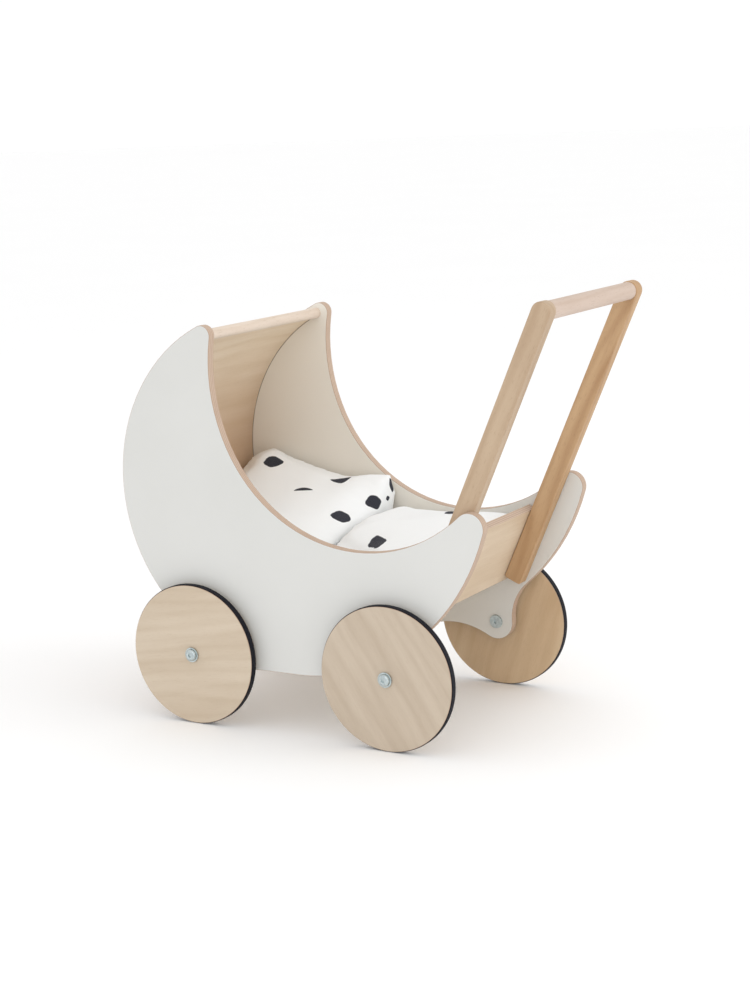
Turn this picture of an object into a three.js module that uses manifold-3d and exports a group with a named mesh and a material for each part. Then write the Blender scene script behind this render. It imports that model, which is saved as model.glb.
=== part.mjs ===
// Wooden doll's pram: two crescent side panels joined by a floor board, a rear board and a bent
// hood sheet, a pair of slanted handle arms with a round grip, four wooden disc wheels with rubber
// tyres on bolt axles, and a loose set of bedding.
//
// Units are millimetres. +X points from the hood to the handle, +Y to the pram's right-hand side
// and +Z up. The drawing starts from the front axle, and the finished pram is then moved so that
// its origin lies on the floor, under the middle of the pram.

import * as THREE from 'three';
import { mergeVertices } from 'three/addons/utils/BufferGeometryUtils.js';
import Module from 'manifold-3d';

const wasm = await Module();
wasm.setup();

// ---------------------------------------------------------------------------------------------
// Driving dimensions
// ---------------------------------------------------------------------------------------------

// Clearances
const GLUE_GAP = 0.3; // between two pieces that touch, all round
const RUNNING_GAP = 0.4; // on the radius, where a wheel turns on its axle sleeve
const BEDDING_GAP = 4; // between the loose bedding and the wooden walls

// Wheels and axles
const WHEEL_RADIUS = 75.5;
const WHEEL_THICKNESS = 9;
const TYRE_WIDTH = 6.8;
const TYRE_PROUD = 0.8; // how far the tyre's tread stands out of the wooden rim
const TYRE_EASE = 0.6; // chamfer on both edges of the tread
const RIM_GROOVE_DEPTH = 2.2;
const WHEELBASE = 237.6;
const SPACER_LENGTH = 5.5; // from the side panel to the wheel
const SPACER_RADIUS = 9;
const SLEEVE_RADIUS = 4.5; // smooth barrel that the wheel turns on
const SLEEVE_FLANGE_RADIUS = 7.6;
const SLEEVE_FLANGE = 1.9;
const SLEEVE_FLANGE_CHAMFER = 1;
const SLEEVE_END_PLAY = 0.6; // how far the sleeve stands out of the wheel, so that it can turn
const BOLT_RADIUS = 3;
const BOLT_ENGAGEMENT = 18;
const BOLT_HEAD_RADIUS = 6.4;
const BOLT_HEAD_HEIGHT = 2.8;
const BOLT_CROWN_DRAW_IN = 0.4; // share of the head's radius that its domed edge takes up
const BOLT_HEAD_RIM = 0.2; // share of the head's height below the dome
const BOLT_DOME_STEPS = 3;
const WASHER_RADIUS = 8;
const WASHER_THICKNESS = 1.1;
const HEX_ACROSS_CORNERS = 4.8; // socket in the bolt's head and in the sleeve's flange
const HEX_DEPTH = 2.2;

// Side panels: a crescent of arcs that run smoothly into each other
const INSIDE_WIDTH = 226; // between the two side panels
const PANEL_THICKNESS = 9.5;
const HOOD_RADIUS = 186.7;
const HOOD_BEHIND_AXLE = 96.4; // centre of the hood's circle, from the front axle
const HOOD_ABOVE_AXLE = 182;
const BELLY_RADIUS = 232.5;
const BELLY_TURN = 56.8; // degrees, from the hood's centre to the belly's centre
const SCOOP_RADIUS = 171.4;
const SCOOP_BEHIND_AXLE = 202.2;
const SCOOP_ABOVE_AXLE = 297.1;
const BROW_RADIUS = 190; // flatter upper part of the scoop's edge, up to the hood's tip
const BROW_TURN = 24.9; // degrees, from the scoop's centre to the brow's centre
const HOOD_TIP_RADIUS = 11;
const REAR_TIP_RADIUS = 16;
const AXLE_LOBE_RADIUS = 20;
const FRONT_LOBE_BLEND = 55;
const KEEL_BLEND = 600; // long hollow between the front axle lobe and the belly
const REAR_LOBE_LEADING_BLEND = 90;
const REAR_LOBE_TRAILING_BLEND = 55;

// Hood
const HOOD_SHEET_THICKNESS = 4.5;
const HOOD_SHEET_INSET = 12.2; // from the hood's edge to the sheet's inner face
const GROOVE_DEPTH = 4; // of the groove in each side panel that holds the sheet
const CROSSBAR_RADIUS = 6;
const CROSSBAR_FROM_TIP = 4; // along the sheet, from the middle of the hood's tip
const CROSSBAR_SLOT_DEPTH = 3;
const CROSSBAR_SEAT = 5; // depth of its blind hole in each side panel

// Handle
const HANDLE_SLOPE = 66.3; // degrees above the floor
const GRIP_BEHIND_AXLE = 405.8;
const GRIP_ABOVE_AXLE = 372.3;
const GRIP_RADIUS = 9.2;
const GRIP_TENON_RADIUS = 6;
const GRIP_TENON_LENGTH = 9;
const ARM_WIDTH = 20.4;
const ARM_THICKNESS = 15;
const ARM_LENGTH = 349.5; // from the grip's axis to the arm's lower end
const ARM_CORNER = 3;

// Rear board and floor
const REAR_BOARD_HEIGHT = 90;
const REAR_BOARD_THICKNESS = 9;
const REAR_BOARD_DROP = 6.5; // how far the board reaches below the arms
const FLOOR_THICKNESS = 9;
const FLOOR_RISE = 4; // from the rear board's lowest edge to the floor's underside

// Joint dowels
const DOWEL_RADIUS = 2.5;
const DOWEL_IN_PANEL = 6;
const DOWEL_IN_EDGE = 14;
const DOWEL_IN_ARM = 10;
const DOWEL_END_ROOM = 0.5; // empty length at each end of a dowel's two holes
const FLOOR_DOWEL_SPACING = 150;
const BOARD_DOWEL_SPACING = 44;
const ARM_DOWEL_SPACING = 36;
const ARM_DOWEL_FROM_END = 14;

// Bedding
const MATTRESS_THICKNESS = 31;
const PILLOW_LENGTH = 150;
const PILLOW_THICKNESS = 68;
const QUILT_THICKNESS = 34;
const LAYER_GAP = 2; // between one layer of bedding and the next
const SOFT_CORNER = 12;

// Smoothness of the faceted solids
const CHORD_ERROR = 0.12;
const WHEEL_SIDES = 48;
const ROUND_SIDES = 24;
const DOWEL_SIDES = 12;
const COARSEST_SAG = 0.2; // share of a small arc's radius that one facet may cut off
const OVERSHOOT = 1; // how far a cutter runs past the face that it opens

// ---------------------------------------------------------------------------------------------
// Finishes
// ---------------------------------------------------------------------------------------------

const FINISHES = {
  whiteLaminate: { color: 0xe3e4e0, roughness: 0.45, metalness: 0 },
  birchPly: { color: 0xd8c6a8, roughness: 0.6, metalness: 0 },
  beech: { color: 0xc9ad87, roughness: 0.55, metalness: 0 },
  rubber: { color: 0x22222c, roughness: 0.7, metalness: 0 },
  steel: { color: 0xc2cacc, roughness: 0.3, metalness: 1 },
  nylon: { color: 0xe6e4de, roughness: 0.5, metalness: 0 },
  cotton: { color: 0xf1efec, roughness: 0.95, metalness: 0 },
};

// ---------------------------------------------------------------------------------------------
// Solids and booleans
// ---------------------------------------------------------------------------------------------

/** A closed three.js geometry as a manifold solid. */
function solid(geometry) {
  const bare = geometry.clone();
  bare.deleteAttribute('normal');
  bare.deleteAttribute('uv');
  const merged = mergeVertices(bare, 1e-4);
  return new wasm.Manifold(new wasm.Mesh({
    numProp: 3,
    vertProperties: Float32Array.from(merged.attributes.position.array),
    triVerts: Uint32Array.from(merged.index.array),
  }));
}

/** A manifold solid as a three.js geometry. */
function geometryOf(body) {
  const { vertProperties, triVerts } = body.getMesh();
  const geometry = new THREE.BufferGeometry();
  geometry.setAttribute('position', new THREE.BufferAttribute(vertProperties, 3));
  geometry.setIndex(new THREE.BufferAttribute(triVerts, 1));
  return geometry;
}

/** The first solid with all the others cut out of it. */
function cut(body, cutters) {
  return cutters.reduce((rest, cutter) => rest.subtract(cutter), body);
}

/** Extrudes a side view (X, Z) across the pram, from y0 to y1. */
function across(points, y0, y1) {
  const depth = y1 - y0;
  const shape = new THREE.Shape(points);
  const geometry = new THREE.ExtrudeGeometry(shape, { depth, bevelEnabled: false, steps: 1 });
  geometry.rotateX(Math.PI / 2);
  geometry.translate(0, y1, 0);
  return solid(geometry);
}

/** Turns a closed profile of [radius, y] points about the Y axis, round the point (x, z). */
function turned(profile, sides, x = 0, z = 0) {
  const points = profile.map(([r, y]) => new THREE.Vector2(r, y));
  if (profile[0][0] > 0) {
    points.push(points[0].clone());
  }
  const geometry = new THREE.LatheGeometry(points, sides);
  geometry.translate(x, 0, z);
  return solid(geometry);
}

/** A plain round bar along Y, round the point (x, z). */
function roundBar(radius, y0, y1, sides, x, z) {
  return turned([[0, y0], [radius, y0], [radius, y1], [0, y1]], sides, x, z);
}

/** A hexagonal socket's cutter along Y, round the point (x, z). */
function hexSocket(y0, y1, x, z) {
  return roundBar(HEX_ACROSS_CORNERS / 2, y0, y1, 6, x, z);
}

/** Points of the arc from angle a0 to a1 in radians, which includes both ends. */
function arc(centre, radius, a0, a1) {
  const finest = 2 * Math.acos(1 - Math.min(CHORD_ERROR / radius, COARSEST_SAG));
  const count = Math.max(2, Math.ceil(Math.abs(a1 - a0) / finest));
  return Array.from({ length: count + 1 }, (_, i) => {
    const a = a0 + (a1 - a0) * i / count;
    return new THREE.Vector2(centre.x + radius * Math.cos(a), centre.y + radius * Math.sin(a));
  });
}

/** A polygon whose corners are rounded, listed anticlockwise. */
function roundedPolygon(corners, radius) {
  return corners.flatMap((corner, i) => {
    const before = corners.at(i - 1).clone().sub(corner).normalize();
    const after = corners[(i + 1) % corners.length].clone().sub(corner).normalize();
    const half = Math.acos(THREE.MathUtils.clamp(before.dot(after), -1, 1)) / 2;
    const middle = before.clone().add(after).normalize();
    const centre = corner.clone().addScaledVector(middle, radius / Math.sin(half));
    const start = centre.clone().addScaledVector(middle, -radius).sub(centre).angle();
    const swing = Math.PI / 2 - half;
    return arc(centre, radius, start - swing, start + swing);
  });
}

// ---------------------------------------------------------------------------------------------
// Chains of tangent circles. A circle's signed radius is positive where the wood is inside it
// and negative where it is a hollow.
// ---------------------------------------------------------------------------------------------

/** A circle of the given signed radius. */
function circle(x, z, radius) {
  return { centre: new THREE.Vector2(x, z), radius };
}

/** The circle that continues another one smoothly, where the two share a tangent point. */
function continued(from, radius, turnDegrees) {
  const turn = THREE.MathUtils.degToRad(turnDegrees);
  const step = Math.abs(radius) - Math.abs(from.radius);
  const centre = from.centre.clone().add(new THREE.Vector2(Math.cos(turn), Math.sin(turn))
    .multiplyScalar(step));
  return { centre, radius };
}

/** The circle that touches two others. Of the two that do, side +1 or -1 picks one. */
function touching(one, other, radius, side) {
  const d1 = Math.abs(one.radius - radius);
  const d2 = Math.abs(other.radius - radius);
  const line = other.centre.clone().sub(one.centre);
  const d = line.length();
  const along = (d * d + d1 * d1 - d2 * d2) / (2 * d);
  const off = Math.sqrt(d1 * d1 - along * along) * side;
  line.normalize();
  const centre = one.centre.clone().addScaledVector(line, along)
    .add(new THREE.Vector2(-line.y, line.x).multiplyScalar(off));
  return { centre, radius };
}

/** The point where two neighbouring circles of a chain meet. */
function meeting(one, other) {
  return other.centre.clone().multiplyScalar(one.radius)
    .addScaledVector(one.centre, -other.radius)
    .divideScalar(one.radius - other.radius);
}

/** The closed outline that runs anticlockwise along a chain of circles. */
function outline(chain) {
  return chain.flatMap((here, i) => {
    const start = meeting(chain.at(i - 1), here).sub(here.centre).angle();
    const end = meeting(here, chain[(i + 1) % chain.length]).sub(here.centre).angle();
    const turn = Math.sign(here.radius) * 2 * Math.PI;
    const sweep = (end - start + turn) % (2 * Math.PI);
    return arc(here.centre, Math.abs(here.radius), start, start + sweep).slice(0, -1);
  });
}

// ---------------------------------------------------------------------------------------------
// Sizes that follow from the driving dimensions
// ---------------------------------------------------------------------------------------------

const AXLE_HEIGHT = WHEEL_RADIUS + TYRE_PROUD;
const INNER_FACE = INSIDE_WIDTH / 2;
const OUTER_FACE = INNER_FACE + PANEL_THICKNESS;
const WHEEL_INNER = OUTER_FACE + SPACER_LENGTH;
const WHEEL_OUTER = WHEEL_INNER + WHEEL_THICKNESS;

// Outline of a side panel
const hood = circle(HOOD_BEHIND_AXLE, AXLE_HEIGHT + HOOD_ABOVE_AXLE, HOOD_RADIUS);
const belly = continued(hood, BELLY_RADIUS, BELLY_TURN);
const scoop = circle(SCOOP_BEHIND_AXLE, AXLE_HEIGHT + SCOOP_ABOVE_AXLE, -SCOOP_RADIUS);
const brow = continued(scoop, -BROW_RADIUS, BROW_TURN);
const frontLobe = circle(0, AXLE_HEIGHT, AXLE_LOBE_RADIUS);
const rearLobe = circle(WHEELBASE, AXLE_HEIGHT, AXLE_LOBE_RADIUS);
const hoodTip = touching(hood, brow, HOOD_TIP_RADIUS, 1);
const rearTip = touching(belly, scoop, REAR_TIP_RADIUS, -1);
const panelChain = [
  hoodTip,
  hood,
  touching(hood, frontLobe, -FRONT_LOBE_BLEND, -1),
  frontLobe,
  touching(frontLobe, belly, -KEEL_BLEND, -1),
  belly,
  touching(belly, rearLobe, -REAR_LOBE_LEADING_BLEND, -1),
  rearLobe,
  touching(rearLobe, belly, -REAR_LOBE_TRAILING_BLEND, -1),
  belly,
  rearTip,
  scoop,
  brow,
];

// Hood sheet, concentric with the hood's edge
const SHEET_INNER = HOOD_RADIUS - HOOD_SHEET_INSET;
const SHEET_OUTER = SHEET_INNER + HOOD_SHEET_THICKNESS;
const SHEET_MIDDLE = (SHEET_INNER + SHEET_OUTER) / 2;

// Directions along and across the handle arms, seen from the side
const slope = THREE.MathUtils.degToRad(HANDLE_SLOPE);
const gripAxis = new THREE.Vector2(GRIP_BEHIND_AXLE, AXLE_HEIGHT + GRIP_ABOVE_AXLE);
const armUp = new THREE.Vector2(Math.cos(slope), Math.sin(slope));
const armBack = new THREE.Vector2(armUp.y, -armUp.x);

/** A point in the side view, given along the arm (upwards) and behind its middle line. */
function onArm(up, back) {
  return gripAxis.clone().addScaledVector(armUp, up).addScaledVector(armBack, back);
}

const BOARD_REAR = -ARM_WIDTH / 2 - GLUE_GAP;
const BOARD_FRONT = BOARD_REAR - REAR_BOARD_THICKNESS;
const BOARD_BOTTOM = -ARM_LENGTH - REAR_BOARD_DROP;
const BOARD_TOP = BOARD_BOTTOM + REAR_BOARD_HEIGHT;
const FLOOR_UNDERSIDE = onArm(BOARD_BOTTOM, BOARD_REAR).y + FLOOR_RISE;
const FLOOR_TOP = FLOOR_UNDERSIDE + FLOOR_THICKNESS;

/** How far forward the hood sheet's inner face is at a height. */
function hoodInnerX(z, clearance) {
  const radius = SHEET_INNER - clearance;
  return hood.centre.x - Math.sqrt(radius * radius - (z - hood.centre.y) ** 2);
}

/** How far back the rear board's front face is at a height. */
function boardFrontX(z, clearance) {
  const foot = onArm(BOARD_BOTTOM, BOARD_FRONT - clearance);
  return foot.x + (z - foot.y) / Math.tan(slope);
}

/** Where the dowels sit, in the side view. */
const floorDowels = (() => {
  const z = FLOOR_UNDERSIDE + FLOOR_THICKNESS / 2;
  const middle = (hoodInnerX(z, 0) + boardFrontX(z, 0)) / 2;
  return [-1, 1].map((end) => new THREE.Vector2(middle + end * FLOOR_DOWEL_SPACING / 2, z));
})();
const boardDowels = [-1, 1].map((end) => onArm(
  (BOARD_TOP + BOARD_BOTTOM) / 2 + end * BOARD_DOWEL_SPACING / 2,
  (BOARD_REAR + BOARD_FRONT) / 2,
));
const armDowels = [0, 1].map((i) => onArm(
  -ARM_LENGTH + ARM_DOWEL_FROM_END + i * ARM_DOWEL_SPACING,
  0,
));

// ---------------------------------------------------------------------------------------------
// Wooden body
// ---------------------------------------------------------------------------------------------

/** Reversed if the side is the left one, so that low comes first. */
function span(side, from, to) {
  return side > 0 ? [from, to] : [-to, -from];
}

/** The hood sheet's side view between two angles about the hood's centre. */
function sheetBand(start, end, grow) {
  return [
    ...arc(hood.centre, SHEET_OUTER + grow, start, end),
    ...arc(hood.centre, SHEET_INNER - grow, end, start),
  ];
}

const crossbarAngle = hoodTip.centre.clone().sub(hood.centre).angle()
  + CROSSBAR_FROM_TIP / SHEET_MIDDLE;
const crossbarAxis = hood.centre.clone().add(
  new THREE.Vector2(Math.cos(crossbarAngle), Math.sin(crossbarAngle)).multiplyScalar(SHEET_MIDDLE),
);
const sheetTop = crossbarAngle + (CROSSBAR_RADIUS - CROSSBAR_SLOT_DEPTH) / SHEET_INNER;
const sheetBottom = Math.PI + Math.asin((hood.centre.y - FLOOR_UNDERSIDE) / SHEET_OUTER);

/** Holes along Y for dowels at the given places. */
function dowelHoles(places, from, to) {
  return places.map((p) => roundBar(DOWEL_RADIUS + GLUE_GAP, from, to, DOWEL_SIDES, p.x, p.y));
}

/** One crescent side panel, with its groove, blind holes and two axle holes. */
function sidePanel(side) {
  const blank = across(outline(panelChain), ...span(side, INNER_FACE, OUTER_FACE));
  const angleGap = GLUE_GAP / SHEET_INNER;
  const groove = across(
    sheetBand(sheetTop - angleGap, sheetBottom + angleGap, GLUE_GAP),
    ...span(side, INNER_FACE - OVERSHOOT, INNER_FACE + GROOVE_DEPTH),
  );
  const crossbarSeat = roundBar(
    CROSSBAR_RADIUS + GLUE_GAP,
    ...span(side, INNER_FACE - OVERSHOOT, INNER_FACE + CROSSBAR_SEAT),
    ROUND_SIDES,
    crossbarAxis.x,
    crossbarAxis.y,
  );
  const axleHoles = [frontLobe, rearLobe].map(({ centre }) => roundBar(
    SLEEVE_RADIUS + GLUE_GAP,
    ...span(side, INNER_FACE - OVERSHOOT, OUTER_FACE + OVERSHOOT),
    ROUND_SIDES,
    centre.x,
    centre.y,
  ));
  const pegs = dowelHoles(
    [...floorDowels, ...boardDowels, ...armDowels],
    ...span(side, INNER_FACE - OVERSHOOT, INNER_FACE + DOWEL_IN_PANEL + DOWEL_END_ROOM),
  );
  return cut(blank, [groove, crossbarSeat, ...axleHoles, ...pegs]);
}

/** The bent hood sheet, which runs from the crossbar down to the floor. */
function hoodSheet() {
  const reach = INNER_FACE + GROOVE_DEPTH - GLUE_GAP;
  return across(sheetBand(sheetTop, sheetBottom, 0), -reach, reach);
}

/** The round crossbar at the hood's tips, slotted for the sheet's edge. */
function crossbar() {
  const reach = INNER_FACE + CROSSBAR_SEAT - GLUE_GAP;
  const { x, y } = crossbarAxis;
  const bar = roundBar(CROSSBAR_RADIUS, -reach, reach, ROUND_SIDES, x, y);
  const slotEnd = crossbarAngle + 2 * CROSSBAR_RADIUS / SHEET_INNER;
  const slotStart = sheetTop - GLUE_GAP / SHEET_INNER;
  const slot = across(sheetBand(slotStart, slotEnd, GLUE_GAP), -reach - OVERSHOOT, reach + OVERSHOOT);
  return bar.subtract(slot);
}

/** Dowel holes in both ends of a board that spans the pram. */
function boardEndHoles(places) {
  const length = DOWEL_IN_EDGE + DOWEL_END_ROOM;
  return [-1, 1].flatMap((side) => dowelHoles(
    places,
    ...span(side, INNER_FACE - length, INNER_FACE + OVERSHOOT),
  ));
}

/** The floor board, bevelled at both ends to meet the hood sheet and the rear board. */
function floorBoard() {
  const reach = INNER_FACE - GLUE_GAP;
  const corners = [
    new THREE.Vector2(boardFrontX(FLOOR_UNDERSIDE, GLUE_GAP), FLOOR_UNDERSIDE),
    new THREE.Vector2(boardFrontX(FLOOR_TOP, GLUE_GAP), FLOOR_TOP),
  ];
  const nose = [FLOOR_TOP, (FLOOR_TOP + FLOOR_UNDERSIDE) / 2, FLOOR_UNDERSIDE]
    .map((z) => new THREE.Vector2(hoodInnerX(z, GLUE_GAP), z));
  return cut(across([...corners, ...nose], -reach, reach), boardEndHoles(floorDowels));
}

/** The rear board, which stands against the front edges of the handle arms. */
function rearBoard() {
  const reach = INNER_FACE - GLUE_GAP;
  const corners = [
    onArm(BOARD_BOTTOM, BOARD_FRONT),
    onArm(BOARD_BOTTOM, BOARD_REAR),
    onArm(BOARD_TOP, BOARD_REAR),
    onArm(BOARD_TOP, BOARD_FRONT),
  ];
  return cut(across(corners, -reach, reach), boardEndHoles(boardDowels));
}

// ---------------------------------------------------------------------------------------------
// Handle
// ---------------------------------------------------------------------------------------------

/** One handle arm: a bar with a full round top end and eased corners at its foot. */
function handleArm(side) {
  const half = ARM_WIDTH / 2;
  const outer = INNER_FACE - GLUE_GAP;
  const inner = INNER_FACE - ARM_THICKNESS;
  const corner = (back, from) => {
    const centre = onArm(-ARM_LENGTH + ARM_CORNER, back);
    return arc(centre, ARM_CORNER, from, from + Math.PI / 2);
  };
  const points = [
    ...corner(-half + ARM_CORNER, slope + Math.PI / 2),
    ...corner(half - ARM_CORNER, slope + Math.PI),
    ...arc(gripAxis, half, slope - Math.PI / 2, slope + Math.PI / 2),
  ];
  const socket = roundBar(
    GRIP_TENON_RADIUS + GLUE_GAP,
    ...span(side, inner - OVERSHOOT, inner + GRIP_TENON_LENGTH + GLUE_GAP),
    ROUND_SIDES,
    gripAxis.x,
    gripAxis.y,
  );
  const pegs = dowelHoles(
    armDowels,
    ...span(side, INNER_FACE - DOWEL_IN_ARM - DOWEL_END_ROOM, INNER_FACE + OVERSHOOT),
  );
  return cut(across(points, ...span(side, inner, outer)), [socket, ...pegs]);
}

/** The round grip between the arms, with a turned tenon at each end. */
function handleGrip() {
  const shoulder = INNER_FACE - ARM_THICKNESS - GLUE_GAP;
  const end = shoulder + GRIP_TENON_LENGTH;
  const profile = [
    [0, -end],
    [GRIP_TENON_RADIUS, -end],
    [GRIP_TENON_RADIUS, -shoulder],
    [GRIP_RADIUS, -shoulder],
    [GRIP_RADIUS, shoulder],
    [GRIP_TENON_RADIUS, shoulder],
    [GRIP_TENON_RADIUS, end],
    [0, end],
  ];
  return turned(profile, ROUND_SIDES, gripAxis.x, gripAxis.y);
}

// ---------------------------------------------------------------------------------------------
// Wheels and axles. Each is drawn for the right-hand side and turned over for the left.
// ---------------------------------------------------------------------------------------------

/** A plywood disc with a bore and a groove round its rim. */
function wheelDisc() {
  const middle = (WHEEL_INNER + WHEEL_OUTER) / 2;
  const bore = SLEEVE_RADIUS + RUNNING_GAP;
  const grooveBottom = WHEEL_RADIUS - RIM_GROOVE_DEPTH;
  const half = TYRE_WIDTH / 2 + GLUE_GAP;
  return turned([
    [bore, WHEEL_INNER],
    [WHEEL_RADIUS, WHEEL_INNER],
    [WHEEL_RADIUS, middle - half],
    [grooveBottom, middle - half],
    [grooveBottom, middle + half],
    [WHEEL_RADIUS, middle + half],
    [WHEEL_RADIUS, WHEEL_OUTER],
    [bore, WHEEL_OUTER],
  ], WHEEL_SIDES);
}

/** A flat rubber band that sits in the rim's groove. */
function tyre() {
  const middle = (WHEEL_INNER + WHEEL_OUTER) / 2;
  const seat = WHEEL_RADIUS - RIM_GROOVE_DEPTH + GLUE_GAP;
  const tread = WHEEL_RADIUS + TYRE_PROUD;
  const half = TYRE_WIDTH / 2;
  return turned([
    [seat, middle - half],
    [tread - TYRE_EASE, middle - half],
    [tread, middle - half + TYRE_EASE],
    [tread, middle + half - TYRE_EASE],
    [tread - TYRE_EASE, middle + half],
    [seat, middle + half],
  ], WHEEL_SIDES);
}

/** A bush that keeps the wheel off the side panel. */
function wheelSpacer() {
  const bore = SLEEVE_RADIUS + GLUE_GAP;
  const near = OUTER_FACE + GLUE_GAP;
  const far = WHEEL_INNER - GLUE_GAP;
  return turned([[bore, near], [SPACER_RADIUS, near], [SPACER_RADIUS, far], [bore, far]],
    ROUND_SIDES);
}

const SLEEVE_OUTER_END = WHEEL_OUTER + SLEEVE_END_PLAY;
const WASHER_FACE = SLEEVE_OUTER_END + GLUE_GAP;
const HEAD_FACE = WASHER_FACE + WASHER_THICKNESS + GLUE_GAP;

/** The flanged sleeve nut: its barrel is the axle, and its flange is inside the body. */
function sleeveNut() {
  const flangeOuter = INNER_FACE - GLUE_GAP;
  const flangeInner = flangeOuter - SLEEVE_FLANGE;
  const barrel = turned([
    [0, flangeInner],
    [SLEEVE_FLANGE_RADIUS - SLEEVE_FLANGE_CHAMFER, flangeInner],
    [SLEEVE_FLANGE_RADIUS, flangeInner + SLEEVE_FLANGE_CHAMFER],
    [SLEEVE_FLANGE_RADIUS, flangeOuter],
    [SLEEVE_RADIUS, flangeOuter],
    [SLEEVE_RADIUS, SLEEVE_OUTER_END],
    [0, SLEEVE_OUTER_END],
  ], ROUND_SIDES);
  const thread = roundBar(
    BOLT_RADIUS + GLUE_GAP,
    HEAD_FACE - BOLT_ENGAGEMENT - OVERSHOOT,
    SLEEVE_OUTER_END + OVERSHOOT,
    ROUND_SIDES,
    0,
    0,
  );
  const socket = hexSocket(flangeInner - OVERSHOOT, flangeInner + HEX_DEPTH, 0, 0);
  return cut(barrel, [thread, socket]);
}

/** The washer under the bolt's head. */
function washer() {
  const bore = BOLT_RADIUS + GLUE_GAP;
  const outer = WASHER_FACE + WASHER_THICKNESS;
  return turned([[bore, WASHER_FACE], [WASHER_RADIUS, WASHER_FACE], [WASHER_RADIUS, outer],
    [bore, outer]], ROUND_SIDES);
}

/** The button-head bolt that closes the sleeve from outside the wheel. */
function axleBolt() {
  const dome = BOLT_HEAD_HEIGHT * (1 - BOLT_HEAD_RIM);
  const crown = Array.from({ length: BOLT_DOME_STEPS + 1 }, (_, i) => {
    const a = i * Math.PI / 2 / BOLT_DOME_STEPS;
    return [
      BOLT_HEAD_RADIUS * (1 - BOLT_CROWN_DRAW_IN * (1 - Math.cos(a))),
      HEAD_FACE + BOLT_HEAD_HEIGHT * BOLT_HEAD_RIM + dome * Math.sin(a),
    ];
  });
  const bolt = turned([
    [0, HEAD_FACE - BOLT_ENGAGEMENT],
    [BOLT_RADIUS, HEAD_FACE - BOLT_ENGAGEMENT],
    [BOLT_RADIUS, HEAD_FACE],
    [BOLT_HEAD_RADIUS, HEAD_FACE],
    ...crown,
    [0, HEAD_FACE + BOLT_HEAD_HEIGHT],
  ], ROUND_SIDES);
  const top = HEAD_FACE + BOLT_HEAD_HEIGHT;
  return bolt.subtract(hexSocket(top - HEX_DEPTH, top + OVERSHOOT, 0, 0));
}

// ---------------------------------------------------------------------------------------------
// Bedding, as plain solids that keep clear of the wood
// ---------------------------------------------------------------------------------------------

const MATTRESS_BOTTOM = FLOOR_TOP + GLUE_GAP;
const MATTRESS_TOP = MATTRESS_BOTTOM + MATTRESS_THICKNESS;
const UPPER_BOTTOM = MATTRESS_TOP + LAYER_GAP;

/** A pad with a rounded side view between two front and two rear corners. */
function pad(corners, corner) {
  const reach = INNER_FACE - BEDDING_GAP;
  return across(roundedPolygon(corners, corner), -reach, reach);
}

/** The mattress, which fills the floor from the hood sheet to the rear board. */
function mattress() {
  return pad([
    new THREE.Vector2(hoodInnerX(MATTRESS_BOTTOM, BEDDING_GAP), MATTRESS_BOTTOM),
    new THREE.Vector2(boardFrontX(MATTRESS_BOTTOM, BEDDING_GAP), MATTRESS_BOTTOM),
    new THREE.Vector2(boardFrontX(MATTRESS_TOP, BEDDING_GAP), MATTRESS_TOP),
    new THREE.Vector2(hoodInnerX(MATTRESS_TOP, BEDDING_GAP), MATTRESS_TOP),
  ], SOFT_CORNER / 2);
}

const PILLOW_FOOT = hoodInnerX(UPPER_BOTTOM, BEDDING_GAP) + PILLOW_LENGTH;

/** The plump pillow under the hood. */
function pillow() {
  const top = UPPER_BOTTOM + PILLOW_THICKNESS;
  return pad([
    new THREE.Vector2(hoodInnerX(UPPER_BOTTOM, BEDDING_GAP), UPPER_BOTTOM),
    new THREE.Vector2(PILLOW_FOOT, UPPER_BOTTOM),
    new THREE.Vector2(PILLOW_FOOT, top),
    new THREE.Vector2(hoodInnerX(top, BEDDING_GAP), top),
  ], SOFT_CORNER);
}

/** The quilt, which lies from the pillow's foot to the rear board. */
function quilt() {
  const top = UPPER_BOTTOM + QUILT_THICKNESS;
  return pad([
    new THREE.Vector2(PILLOW_FOOT + LAYER_GAP, UPPER_BOTTOM),
    new THREE.Vector2(boardFrontX(UPPER_BOTTOM, BEDDING_GAP), UPPER_BOTTOM),
    new THREE.Vector2(boardFrontX(top, BEDDING_GAP), top),
    new THREE.Vector2(PILLOW_FOOT + LAYER_GAP, top),
  ], SOFT_CORNER);
}

// ---------------------------------------------------------------------------------------------
// Assembly
// ---------------------------------------------------------------------------------------------

const pram = new THREE.Group();
pram.name = 'doll_stroller';

/** Adds a solid to a group as a named mesh with a finish of its own. */
function place(name, body, finish, parent = pram) {
  const mesh = new THREE.Mesh(
    geometryOf(body),
    new THREE.MeshStandardMaterial(FINISHES[finish]),
  );
  mesh.name = name;
  parent.add(mesh);
}

const SIDES = [{ word: 'left', side: -1 }, { word: 'right', side: 1 }];

for (const { word, side } of SIDES) {
  place(`side_panel_${word}`, sidePanel(side), 'whiteLaminate');
  place(`handle_arm_${word}`, handleArm(side), 'beech');
}
place('hood_sheet', hoodSheet(), 'birchPly');
place('hood_crossbar', crossbar(), 'beech');
place('floor_board', floorBoard(), 'birchPly');
place('rear_board', rearBoard(), 'birchPly');
place('handle_grip', handleGrip(), 'beech');

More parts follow.
